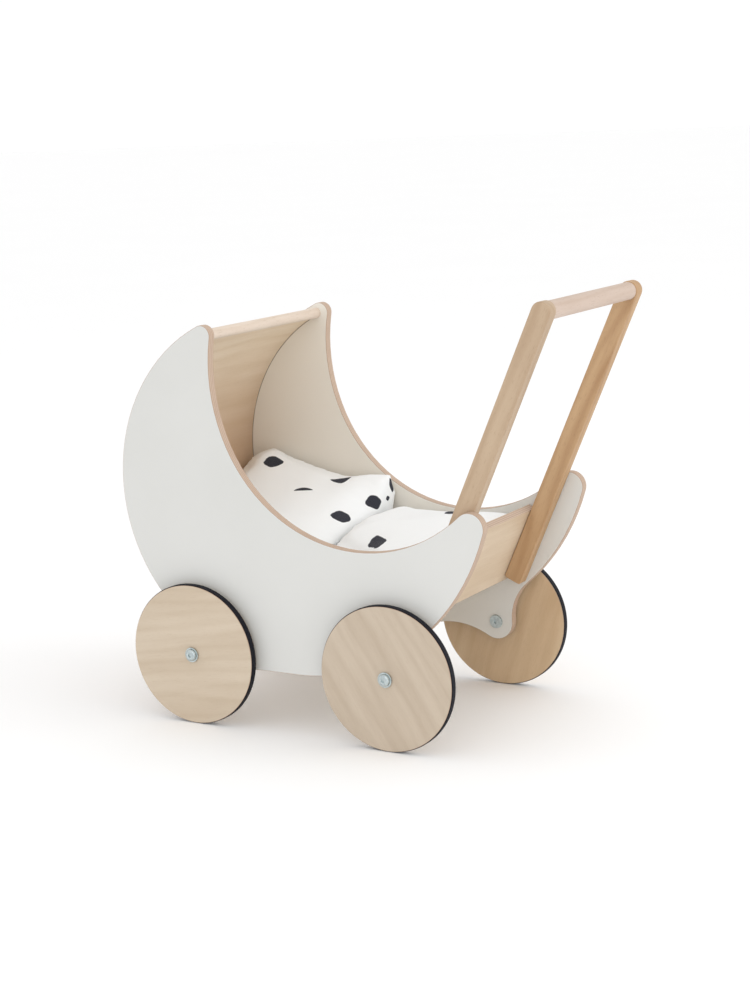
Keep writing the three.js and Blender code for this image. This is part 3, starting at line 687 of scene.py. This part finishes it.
@dataclass
class Body:
    """The crescent side panels, the hood and the two boards."""

    maker: Maker
    hood: Circle = HOOD
    scoop: Circle = Circle(0.03939, 0.3734, -0.1714)
    sheet_inner: float = SHEET_INNER
    sheet_outer: float = 0.179
    sheet_reach: float = 0.1167
    sheet_foot: float = 0.130845
    crossbar: Vector = Vector((-0.14555, 0, 0.41634))
    crossbar_radius: float = 0.006
    crossbar_reach: float = 0.1177
    belly_radius: float = 0.2325
    brow_radius: float = -0.190
    lobe: float = 0.020
    tip: float = 0.011
    tail: float = 0.016
    neck: float = -0.055
    keel: float = -0.6
    heel: float = -0.090
    hood_ply: float = 0.0015
    tail_face: Vector = Vector((0.12646, 0, 0.20925))
    board_thickness: float = 0.009
    bore: float = 0.0048
    edge_round: float = 0.0005
    arc_step: float = math.radians(4)

    def chain(self) -> list[Circle]:
        """The circles whose arcs make the panel's outline, anticlockwise from the hood's tip."""
        belly = self.hood.continued(self.belly_radius, 56.8)
        brow = self.scoop.continued(self.brow_radius, 24.9)
        front, rear = (Circle(axle.x, axle.z, self.lobe) for axle in (FRONT_AXLE, REAR_AXLE))
        return [
            self.hood.touching(brow, self.tip, 1),
            self.hood,
            self.hood.touching(front, self.neck, -1),
            front,
            front.touching(belly, self.keel, -1),
            belly,
            belly.touching(rear, self.heel, -1),
            rear,
            rear.touching(belly, self.neck, -1),
            belly,
            belly.touching(self.scoop, self.tail, -1),
            self.scoop,
            brow,
        ]

    def draw_outline(self, bm: bmesh.types.BMesh, y: float) -> None:
        """Draws the panel's outline and its two axle holes at y."""
        chain = self.chain()
        shift = ACROSS * y
        for before, here, after in zip(chain[-1:] + chain[:-1], chain, chain[1:] + chain[:1]):
            start = before.meets(here)
            a0 = angle_of(start - here.centre)
            a1 = angle_of(here.meets(after) - here.centre)
            sweep = math.fmod(a1 - a0 + math.copysign(2 * math.pi, here.radius), 2 * math.pi)
            steps = max(2, math.ceil(abs(sweep) / self.arc_step))
            spin_point(bm, bm.verts.new(start + shift), here.centre + shift, sweep, steps)
        for axle in (FRONT_AXLE, REAR_AXLE):
            turn = Matrix.Translation(axle + shift) @ Matrix.Rotation(math.pi / 2, 4, "X")
            bmesh.ops.create_circle(bm, segments=32, radius=self.bore, matrix=turn)

    def panel(self, word: str, side: int, face: bpy.types.Material,
              edge: bpy.types.Material) -> None:
        """Builds one side panel, on side -1 or 1."""
        bm = bmesh.new()
        low, high = sorted((side * PANEL_INNER, side * PANEL_OUTER))
        self.draw_outline(bm, low)
        outline_solid(bm, low, high)
        bevel_corners(bm, self.edge_round)
        self.maker.piece(bm, f"panel_{word}", Slot.LAMINATE, "pram", [face, edge],
                         [f"side_panel_{word}"], edge_axis=ACROSS)

    def sheet(self, face: bpy.types.Material, edge: bpy.types.Material) -> None:
        """Builds the bent hood sheet, from the crossbar down to the floor."""
        top = angle_of(self.crossbar - self.hood.centre) + 0.003 / self.sheet_inner
        foot = math.pi + math.asin((self.hood.z - self.sheet_foot) / self.sheet_outer)
        bm = bmesh.new()
        ray = Vector((math.cos(top), 0, math.sin(top)))
        corners = [bm.verts.new(self.hood.centre + ray * r + ACROSS * y)
                   for r, y in ((self.sheet_inner, -self.sheet_reach),
                                (self.sheet_outer, -self.sheet_reach),
                                (self.sheet_outer, self.sheet_reach),
                                (self.sheet_inner, self.sheet_reach))]
        start = bm.faces.new(corners)
        bmesh.ops.spin(bm, geom=[start], cent=self.hood.centre, axis=-ACROSS,
                       angle=foot - top, steps=90)
        bmesh.ops.recalc_face_normals(bm, faces=bm.faces)
        bevel_corners(bm, self.edge_round)
        for f in bm.faces:
            out = (f.calc_center_median() - self.hood.centre) * Vector((1, 0, 1))
            f.material_index = 0 if abs(f.normal.dot(out.normalized())) > FLAT else 1
        self.maker.piece(bm, "hood_shell", Slot.BIRCH, "pram", [face, edge], ["hood_sheet"])

    def bar(self, wood: bpy.types.Material) -> None:
        """Builds the round bar across the hood's tips."""
        reach, r = self.crossbar_reach, self.crossbar_radius
        bm = turned([(0, -reach), (r, -reach), (r, reach), (0, reach)], 40, closed=False)
        bmesh.ops.translate(bm, verts=bm.verts, vec=self.crossbar)
        self.maker.piece(bm, "crossbar", Slot.BEECH, "pram", [wood], ["hood_crossbar"])

    def build(self) -> None:
        """Builds and dresses every piece of the wooden body."""
        # The panels' laminate carries painted bounce light on its inner faces and a painted shadow line
        # along the hood sheet.
        face = LAMINATE.build("white_laminate",
                              Circle(self.hood.x, self.hood.z, self.sheet_inner),
                              PANEL_INNER, self.crossbar.x, self.sheet_foot)
        skins = side_edges("panel_edge", PANEL_INNER, PANEL_OUTER - PANEL_INNER)
        for word, side in SIDES.items():
            self.panel(word, side, face, skins[side])

        def hood_depth(sh: Shader) -> Value:
            """How deep a point lies in the bent sheet."""
            x = sh.along(ALONG, self.hood.centre)
            z = sh.along(UPWARD, self.hood.centre)
            return (x * x + z * z).root() - self.sheet_inner

        # The hood's inside darkens toward the floor with painted shade.
        self.sheet(PALE_BIRCH.build("hood_birch", ACROSS, UPWARD,
                                    shade_heights=(0.41, 0.24)),
                   PLY_EDGE.build("hood_edge", hood_depth, self.hood_ply))
        self.bar(PALE_BEECH.build("crossbar_beech", ACROSS, ALONG))
        self.boards()
        peg = PALE_BEECH.build("peg_beech", ACROSS, ALONG)
        for name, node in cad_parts.items():
            if "_dowel_" in name:
                node.data.materials.clear()
                node.data.materials.append(peg)

    def boards(self) -> None:
        """Builds and dresses the rear board and the floor board."""
        up = Vector((math.cos(HANDLE_SLOPE), 0, math.sin(HANDLE_SLOPE)))
        back = Vector((up.z, 0, -up.x))
        bm = self.maker.softened("rear_board", 0.0007)
        self.maker.piece(bm, "tail_board", Slot.BIRCH, "pram",
                         [TAIL_BIRCH.build("tail_birch", ACROSS, up),
                          PLY_EDGE.build("tail_edge", lambda sh: sh.along(back, self.tail_face),
                                         self.board_thickness / PLIES)],
                         ["rear_board"], edge_axis=back)
        bm = self.maker.softened("floor_board", 0.0006)
        floor = Vector((0, 0, self.sheet_foot))
        self.maker.piece(bm, "base_board", Slot.BIRCH, "pram",
                         [BIRCH.build("base_birch", ALONG, ACROSS),
                          PLY_EDGE.build("base_edge",
                                         lambda sh: sh.along(UPWARD, floor),
                                         self.board_thickness / PLIES)],
                         ["floor_board"], edge_axis=UPWARD)


@dataclass
class Handle:
    """Two slanted arms and the round grip between them."""

    maker: Maker
    grip: Vector = Vector((0.24299, 0, 0.4486))
    half_width: float = 0.0102
    length: float = 0.3495
    inner: float = 0.098
    outer: float = 0.1127
    foot_corner: float = 0.003
    edge_round: float = 0.0012
    grip_radius: float = 0.0092
    tenon_radius: float = 0.006
    tenon: float = 0.009

    def on_arm(self, up: float, back: float) -> Vector:
        """A point in the side view, up the arm from the grip and behind its middle."""
        u = Vector((math.cos(HANDLE_SLOPE), 0, math.sin(HANDLE_SLOPE)))
        return self.grip + u * up + Vector((u.z, 0, -u.x)) * back

    def arm(self, word: str, side: int, wood: bpy.types.Material) -> None:
        """Builds one arm, on side -1 or 1."""
        bm = bmesh.new()
        low, high = sorted((side * self.inner, side * self.outer))
        shift = ACROSS * low
        foot = -self.length
        r, w = self.foot_corner, self.half_width
        arcs = (
            (self.on_arm(0, w), self.grip, math.pi, 28),
            (self.on_arm(foot + r, -w), self.on_arm(foot + r, r - w), math.pi / 2, 6),
            (self.on_arm(foot, w - r), self.on_arm(foot + r, w - r), math.pi / 2, 6),
        )
        ends = []
        for start, centre, sweep, steps in arcs:
            first = bm.verts.new(start + shift)
            ends.append((first, spin_point(bm, first, centre + shift, sweep, steps)))
        for (_, last), (first, _) in zip(ends, ends[1:] + ends[:1]):
            bm.edges.new((last, first))
        outline_solid(bm, low, high)
        bevel_corners(bm, self.edge_round)
        self.maker.piece(bm, f"arm_{word}", Slot.BEECH, "pram", [wood], [f"handle_arm_{word}"])

    def build(self) -> None:
        """Builds and dresses the arms and the grip."""
        up = self.on_arm(1, 0) - self.grip
        # The right arm takes a darker, warmer beech: partly real tone, partly painted shade on its
        # shaded inner face.
        for word, side, wood in (("left", -1, BEECH), ("right", 1, WARM_SHADED_BEECH)):
            self.arm(word, side, wood.build(f"arm_beech_{word}", up, ACROSS))
        shoulder = self.inner - 0.0003
        end = shoulder + self.tenon
        half = [(0, end), (self.tenon_radius, end), (self.tenon_radius, shoulder),
                (self.grip_radius, shoulder)]
        profile = [(r, -y) for r, y in half] + half[::-1]
        bm = turned(profile, 56, closed=False)
        bmesh.ops.translate(bm, verts=bm.verts, vec=self.grip)
        self.maker.piece(bm, "grip", Slot.BEECH, "pram",
                         [PINK_BEECH.build("grip_beech", ACROSS, ALONG)],
                         ["handle_grip"])


# ------------------------------------------------------------------------------------------
# Wheels
# ------------------------------------------------------------------------------------------


@dataclass
class WheelSet:
    """The four wheels with their tyres, and the hardware that they turn on.

    Each piece is drawn for the right-hand side, on an axle along Y through the origin.
    """

    maker: Maker
    wheel_inner: float = 0.128
    wheel_outer: float = 0.137
    radius: float = 0.0755
    bore: float = 0.0049
    groove: float = 0.0022
    groove_half: float = 0.0037
    tread: float = 0.0763
    tyre_half: float = 0.0034
    rim_steps: int = 144
    fitting_steps: int = 48
    sleeve: float = 0.0045
    flange: float = 0.0076
    flange_thickness: float = 0.0019
    washer_face: float = 0.1379
    washer: float = 0.0080
    washer_thickness: float = 0.0011
    head: float = 0.0064
    head_height: float = 0.0028
    hex_radius: float = 0.0024
    hex_depth: float = 0.0014
    gap: float = 0.0003
    # The right-hand wheels take a darker, warmer veneer: partly real tone, partly painted shade on their
    # shaded inner faces.
    grains: dict[str, tuple[Veneer, float]] = field(default_factory=lambda: {
        "front_left": (BIRCH, 8), "rear_left": (GREY_BIRCH, -58),
        "front_right": (WARM_SHADED_BIRCH, 40), "rear_right": (WARM_SHADED_BIRCH, 72)})

    def seat(self, bm: bmesh.types.BMesh, side: int, axle: Vector) -> bmesh.types.BMesh:
        """Moves a right-hand piece to its own axle, and returns it."""
        turn = Matrix.Rotation(0 if side > 0 else math.pi, 4, "Z")
        bmesh.ops.transform(bm, matrix=Matrix.Translation(axle) @ turn,
                            verts=bm.verts)
        return bm

    def disc(self) -> bmesh.types.BMesh:
        """The wooden wheel, with a bore and a groove for the tyre."""
        middle = (self.wheel_inner + self.wheel_outer) / 2
        low = self.radius - self.groove
        bm = turned([
            (self.bore, self.wheel_inner), (self.radius, self.wheel_inner),
            (self.radius, middle - self.groove_half), (low, middle - self.groove_half),
            (low, middle + self.groove_half), (self.radius, middle + self.groove_half),
            (self.radius, self.wheel_outer), (self.bore, self.wheel_outer)], self.rim_steps, closed=True)
        bevel_corners(bm, 0.0003, segments=2)
        return bm

    def tyre(self) -> bmesh.types.BMesh:
        """The rubber band in the wheel's groove."""
        middle = (self.wheel_inner + self.wheel_outer) / 2
        seat = self.radius - self.groove + self.gap
        half = self.tyre_half
        bm = turned([(seat, middle - half), (self.tread, middle - half),
                     (self.tread, middle + half), (seat, middle + half)],
                    self.rim_steps, closed=True)
        bevel_corners(bm, 0.0006)
        return bm

    def ring(self, inner: float, outer: float, y0: float, y1: float,
             round_over: float) -> bmesh.types.BMesh:
        """A plain ring between two radii."""
        bm = turned([(inner, y0), (outer, y0), (outer, y1), (inner, y1)], self.fitting_steps,
                    closed=True)
        bevel_corners(bm, round_over, segments=2)
        return bm

    def socket_head(self, profile: list[tuple[float, float]], outward: int) -> bmesh.types.BMesh:
        """A turned head with a hexagonal socket.

        Args:
            profile: Its (radius, y) points, from the shank's end on the axis to the flat ring
                round the socket.
            outward: 1 if the socket opens towards +Y and -1 if towards -Y.

        Returns:
            The mesh.
        """
        bm = turned(profile, self.fitting_steps, closed=False)
        top = profile[-1][1]
        rim = [e for e in bm.edges if e.is_boundary]
        turn = Matrix.Translation((0, top, 0)) @ Matrix.Rotation(math.pi / 2, 4, "X")
        made = bmesh.ops.create_circle(bm, segments=6, radius=self.hex_radius, matrix=turn)
        hexagon = list({e for v in made["verts"] for e in v.link_edges})
        bmesh.ops.triangle_fill(bm, edges=rim + hexagon, use_beauty=True, normal=ACROSS)
        walls = bmesh.ops.extrude_edge_only(bm, edges=hexagon)
        floor = [g for g in walls["geom"] if isinstance(g, bmesh.types.BMVert)]
        bmesh.ops.translate(bm, verts=floor, vec=ACROSS * (-outward * self.hex_depth))
        bmesh.ops.contextual_create(bm, geom=[g for g in walls["geom"]
                                              if isinstance(g, bmesh.types.BMEdge)
                                              and g.is_boundary])
        bmesh.ops.recalc_face_normals(bm, faces=bm.faces)
        return bm

    def nut(self) -> bmesh.types.BMesh:
        """The flanged sleeve nut, whose barrel is the axle."""
        face = PANEL_INNER - self.gap
        back = face - self.flange_thickness
        ease = 0.0008
        return self.socket_head([
            (0, self.washer_face - self.gap), (self.sleeve, self.washer_face - self.gap),
            (self.sleeve, face), (self.flange, face), (self.flange, back + ease),
            (self.flange - ease * 0.3, back + ease * 0.3), (self.flange - ease, back),
            (self.hex_radius * 1.3, back)], -1)

    def bolt(self) -> bmesh.types.BMesh:
        """The button-head bolt that closes the sleeve."""
        face = self.washer_face + self.washer_thickness + self.gap
        dome = [(self.head * (1 - 0.42 * (1 - math.cos(a))),
                 face + self.head_height * (0.2 + 0.8 * math.sin(a)))
                for a in (i * math.pi / 16 for i in range(9))]
        return self.socket_head([(0, face - 0.001), (self.head * 0.5, face - 0.001),
                                 (self.head * 0.5, face), (self.head, face), *dome,
                                 (self.hex_radius * 1.3, face + self.head_height)], 1)

    def build(self) -> None:
        """Builds and dresses the four wheels and their hardware."""
        rubber, zinc = RUBBER.build("tyre_rubber"), ZINC.build("zinc_plate")
        nylon = NYLON.build("spacer_nylon")
        edges = side_edges("wheel_edge", self.wheel_inner, self.wheel_outer - self.wheel_inner)
        for row, axle in (("front", FRONT_AXLE), ("rear", REAR_AXLE)):
            for word, side in SIDES.items():
                corner = f"{row}_{word}"
                body = f"{corner}_wheel"
                wood, degrees = self.grains[corner]
                grain = Vector((math.cos(math.radians(degrees)), 0,
                                math.sin(math.radians(degrees))))
                face = wood.build(f"birch_{corner}", grain, grain.cross(ACROSS))
                self.maker.piece(self.seat(self.disc(), side, axle), f"disc_{corner}", Slot.BIRCH,
                                 body, [face, edges[side]], [f"wheel_{corner}"],
                                 edge_axis=ACROSS)
                self.maker.piece(self.seat(self.tyre(), side, axle), f"tread_{corner}",
                                 Slot.RUBBER, body, [rubber], [f"tyre_{corner}"])
                fittings = (
                    ("spacer", Slot.NYLON, nylon, "wheel_spacer",
                     self.ring(self.sleeve + self.gap, 0.009, PANEL_OUTER + self.gap,
                               self.wheel_inner - self.gap, 0.0004)),
                    ("nut", Slot.ZINC, zinc, "sleeve_nut", self.nut()),
                    ("shim", Slot.ZINC, zinc, "washer",
                     self.ring(0.0033, self.washer, self.washer_face,
                               self.washer_face + self.washer_thickness, 0.0002)),
                    ("bolt", Slot.ZINC, zinc, "axle_bolt", self.bolt()))
                for name, slot, material, node, bm in fittings:
                    self.maker.piece(self.seat(bm, side, axle), f"{name}_{corner}", slot, "pram",
                                     [material], [f"{node}_{corner}"], smooth_angle=35)


# ------------------------------------------------------------------------------------------
# Bedding
# ------------------------------------------------------------------------------------------


CREASES = ((34, 16, 2.0), (14, 30, 7.0))


def smooth_curve(values: list[float], share: float) -> float:
    """The value at a share of the way along a smooth curve through evenly spaced values."""
    last = len(values) - 1
    i = min(int(share * last), last - 1)
    t = share * last - i
    a, b, c, d = (values[min(max(i + k, 0), last)] for k in (-1, 0, 1, 2))
    return b + t / 2 * (c - a + t * (2 * a - 5 * b + 4 * c - d + t * (3 * (b - c) + d - a)))


@dataclass(frozen=True)
class Fold:
    """A folded corner of cloth on top of a pad: its tip, and its two edges' angles in degrees."""

    tip: Vector
    far_edge: float
    near_edge: float
    height: float
    softness: float = 0.004

    def rise(self, x: float, y: float) -> float:
        """How much higher the cloth lies at a point."""
        step = Vector((x, y, 0)) - self.tip
        far, near = math.radians(self.far_edge), math.radians(self.near_edge)
        inside = min(step.x * math.sin(far) - step.y * math.cos(far),
                     step.y * math.cos(near) - step.x * math.sin(near))
        share = min(max(inside / self.softness, 0), 1)
        return self.height * share * share * (3 - 2 * share)


@dataclass
class Pad:
    """A stuffed piece with a shaped top, which a cloth simulation plumps up."""

    name: str
    node: str
    low: float
    heights: list[list[float]]
    front: Callable[[float], float]
    rear: Callable[[float], float]
    fill: float
    creases: float
    rim: float = 0.016
    seam_share: float = 0.4
    reach: float = 0.109
    swell: float = 0.003
    voxel: float = 0.004
    side_limit: float = 0.1115
    seam_least: float = 0.06
    pressure: float = 4
    frames: int = 20
    fold: Optional[Fold] = None

    def top(self, u: float, v: float) -> float:
        """The height of the top at shares u from front to rear and v from left to right."""
        return smooth_curve([smooth_curve(row, v) for row in self.heights], u) * MM

    def shape(self) -> bmesh.types.BMesh:
        """The cushion before it is plumped: a slab whose rim narrows to a seam."""
        bm = bmesh.new()
        bmesh.ops.create_grid(bm, x_segments=70, y_segments=84, size=1)
        upper = bmesh.ops.extrude_face_region(bm, geom=bm.faces, use_keep_orig=True)
        raised = {g for g in upper["geom"] if isinstance(g, bmesh.types.BMVert)}
        for vert in bm.verts:
            u, v = (vert.co.x + 1) / 2, (vert.co.y + 1) / 2
            middle = self.top(u, v)
            width = 2 * self.reach
            length = self.rear(middle) - self.front(middle)
            inside = min(u * length, (1 - u) * length, v * width, (1 - v) * width) / self.rim
            rise = math.sqrt(max(0.0, 1 - (1 - min(inside, 1)) ** 2))
            seam = self.low + (middle - self.low) * self.seam_share
            z = seam + ((middle if vert in raised else self.low) - seam) * max(rise, self.seam_least)
            x = self.front(z) + (self.rear(z) - self.front(z)) * u
            y = -self.reach + width * v
            if vert in raised:
                for along, across, layer in CREASES:
                    wave = noise.noise(Vector((x * along, y * across, layer)))
                    z += wave * self.creases * rise
                z += self.fold.rise(x, y) * rise if self.fold else 0
            vert.co = (x, y, z)
        bmesh.ops.recalc_face_normals(bm, faces=bm.faces)
        return bm

    def plump(self, piece: bpy.types.Object) -> None:
        """Blows the piece up with a cloth simulation, and keeps it off its neighbours."""
        remesh = piece.modifiers.new("remesh", "REMESH")
        remesh.mode, remesh.voxel_size = "VOXEL", self.voxel
        graph = bpy.context.evaluated_depsgraph_get()
        piece.data = bpy.data.meshes.new_from_object(piece.evaluated_get(graph))
        piece.modifiers.clear()
        rest = [v.co.copy() for v in piece.data.vertices]
        cloth = piece.modifiers.new("cloth", "CLOTH")
        cloth.settings.use_pressure = True
        cloth.settings.uniform_pressure_force = self.pressure
        cloth.settings.effector_weights.gravity = 0
        cloth.point_cache.frame_start, cloth.point_cache.frame_end = 1, self.frames
        scene = bpy.context.scene
        for step in range(1, self.frames + 1):
            scene.frame_set(step)
        graph = bpy.context.evaluated_depsgraph_get()
        blown = piece.evaluated_get(graph).data.vertices
        for vert, start, end in zip(piece.data.vertices, rest, [v.co.copy() for v in blown]):
            move = end - start
            vert.co = start + move * min(1.0, self.swell / max(move.length, 1e-9))
        piece.modifiers.clear()
        scene.frame_set(1)
        for vert in piece.data.vertices:
            vert.co.z = max(vert.co.z, self.low)
            vert.co.x = min(max(vert.co.x, self.front(vert.co.z)), self.rear(vert.co.z))
            vert.co.y = min(max(vert.co.y, -self.side_limit), self.side_limit)

    def build(self, maker: Maker, material: bpy.types.Material) -> None:
        """Makes the piece in a material, plumps it and rounds it once more."""
        piece = maker.piece(self.shape(), self.name, Slot.COTTON, "pram", [], [self.node],
                            smooth_angle=180)
        piece.modifiers.clear()
        self.plump(piece)
        mesh = piece.data
        mesh.materials.clear()
        mesh.materials.append(material)
        mesh.polygons.foreach_set("use_smooth", [True] * len(mesh.polygons))
        smooth = piece.modifiers.new("round", "SUBSURF")
        smooth.levels = smooth.render_levels = 1


@dataclass
class Bedding:
    """The mattress, the pillow under the hood and the quilt up to the rear board."""

    maker: Maker
    hood: Circle = Circle(HOOD.x, HOOD.z, SHEET_INNER)
    board_foot: Vector = Vector((0.118224, 0, 0.212866))
    clearance: float = 0.0015
    split: float = -0.043

    def hood_wall(self, z: float) -> float:
        """How far forward the bedding may reach at a height."""
        r = self.hood.radius - self.clearance
        return self.hood.x - math.sqrt(max(r * r - (z - self.hood.z) ** 2, 0))

    def board_wall(self, z: float) -> float:
        """How far back the bedding may reach at a height."""
        top = min(z, self.board_foot.z)
        lean = (top - self.board_foot.z) / math.tan(HANDLE_SLOPE)
        return self.board_foot.x + lean - self.clearance

    def build(self) -> None:
        """Builds and dresses the three soft pieces."""
        print_spots = [
            Blotch(-0.186, 0.071, 0.0115, 0.0105, 31),
            Blotch(-0.122, 0.033, 0.0107, 0.004, 37, 0.8),
            Blotch(-0.097, 0.074, 0.012, 0.0078, 33, -0.7),
            Blotch(-0.046, 0.102, 0.006, 0.005, 0, z=0.226, tall=0.009),
            Blotch(-0.047, 0.091, 0.005, 0.004, 0, z=0.212, tall=0.003),
            Blotch(-0.052, 0.068, 0.0115, 0.010, 85, z=0.211, tall=0.009),
            Blotch(-0.059, 0.010, 0.0125, 0.0105, 48, z=0.206, tall=0.010),
            Blotch(0.020, -0.050, 0.022, 0.0095, -60),
            Blotch(0.040, 0.084, 0.009, 0.016, 0),
            Blotch(-0.175, -0.020, 0.012, 0.009, 75),
            Blotch(-0.212, -0.070, 0.010, 0.007, 10, 0.6),
            Blotch(-0.118, -0.062, 0.012, 0.006, -30, -0.7),
            Blotch(0.098, -0.078, 0.010, 0.008, 60),
            Blotch(0.092, 0.030, 0.012, 0.008, -20, 0.5),
        ]
        cotton = COTTON.build("cotton_print", print_spots)
        plain = COTTON.build("cotton_plain", [])
        flat = [[170.5] * 3] * 3
        Pad("mattress_pad", "mattress", 0.1403, flat, self.hood_wall, self.board_wall,
            fill=0.9, creases=0.0004, swell=0.001, reach=0.110).build(self.maker, plain)
        Pad("pillow_pad", "pillow", 0.1725, [
            [200, 208, 218, 230, 249],
            [202, 212, 226, 242, 261],
            [203, 213, 225, 238, 252],
            [202, 211, 221, 231, 243],
            [198, 207, 217, 226, 236],
            [188, 197, 209, 221, 238],
            [179, 184, 195, 206, 240],
        ], self.hood_wall, lambda z: self.split - 0.0008, rim=0.003,
            seam_share=0.7, fill=0.7,
            creases=0.0006).build(self.maker, cotton)
        Pad("quilt_pad", "quilt", 0.1725, [
            [179, 183, 201, 204, 200],
            [179, 183, 199, 200, 199],
            [181, 190, 198, 200, 201],
            [188, 194, 197, 198, 199],
            [195, 196, 197, 197, 198],
        ], lambda z: self.split + 0.0008, self.board_wall, rim=0.003,
            seam_share=0.7, fill=0.4,
            creases=0.001, fold=Fold(Vector((self.split, -0.027, 0)), 47, -34, 0.0045)).build(
                self.maker, cotton)


# ------------------------------------------------------------------------------------------
# Studio
# ------------------------------------------------------------------------------------------


@dataclass
class Studio:
    """A plain pale floor, soft light and the camera."""

    camera_at: Vector = Vector((1.0502, -1.8091, 0.6440))
    camera_turn: tuple[float, float, float] = (79.098, 2.070, 30.528)
    lens: float = 71.62
    shift: tuple[float, float] = (0.01906, -0.00912)
    floor_radius: float = 40.0
    sky: float = 1.02

    def floor(self) -> None:
        """Lays the floor."""
        sh = Shader("studio_floor")
        haze = sh.noise(sh.place(), scale=1.5, detail=2)
        material = sh.finish({"Base Color": sh.mix(haze, srgb(253, 253, 253), srgb(251, 251, 251)),
                              "Roughness": 0.9 + haze * 0.05})
        bm = bmesh.new()
        bmesh.ops.create_circle(bm, cap_ends=True, segments=64, radius=self.floor_radius)
        mesh = bpy.data.meshes.new("studio_floor")
        bm.to_mesh(mesh)
        bm.free()
        mesh.materials.append(material)
        floor = bpy.data.objects.new("studio_floor", mesh)
        bpy.context.scene.collection.objects.link(floor)

    def lamp(self, name: str, at: Vector, size: float, power: float, target: Vector) -> None:
        """Hangs one square soft light that faces target."""
        light = bpy.data.lights.new(name, "AREA")
        light.shape, light.size, light.energy = "SQUARE", size, power
        lamp = bpy.data.objects.new(name, light)
        lamp.location = at
        lamp.rotation_euler = (target - at).to_track_quat("-Z", "Y").to_euler()
        bpy.context.scene.collection.objects.link(lamp)

    def camera(self) -> None:
        """Stands the camera in place."""
        lens = bpy.data.cameras.new("camera")
        lens.sensor_fit, lens.sensor_height, lens.lens = "VERTICAL", 36, self.lens
        lens.shift_x, lens.shift_y = self.shift
        lens.dof.use_dof = False
        lens.clip_end = 200
        camera = bpy.data.objects.new("camera", lens)
        camera.location = self.camera_at
        camera.rotation_euler = [math.radians(a) for a in self.camera_turn]
        bpy.context.scene.collection.objects.link(camera)
        bpy.context.scene.camera = camera

    def build(self) -> None:
        """Builds the floor, the lights, the sky and the camera."""
        self.floor()
        middle = Vector((0, 0, 0.2))
        self.lamp("key", Vector((2.3, 0.5, 1.9)), 1.4, 10, middle)
        self.lamp("fill", Vector((1.0, -2.4, 0.9)), 1.8, 7.5, middle)
        world = bpy.data.worlds.new("studio")
        world.use_nodes = True
        world.node_tree.nodes["Background"].inputs[0].default_value = (1, 1, 1, 1)
        world.node_tree.nodes["Background"].inputs[1].default_value = self.sky
        bpy.context.scene.world = world
        bpy.context.scene.view_settings.view_transform = "Standard"
        self.camera()


def main() -> None:
    """Builds the pram's pieces and the studio."""
    logging.basicConfig(level=logging.INFO, format="%(name)s: %(message)s")
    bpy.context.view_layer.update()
    maker = Maker()
    Body(maker).build()
    Handle(maker).build()
    WheelSet(maker).build()
    Bedding(maker).build()
    Studio().build()
    LOG.info("%d pieces made", len(maker.made))


if __name__ == "__main__":
    main()
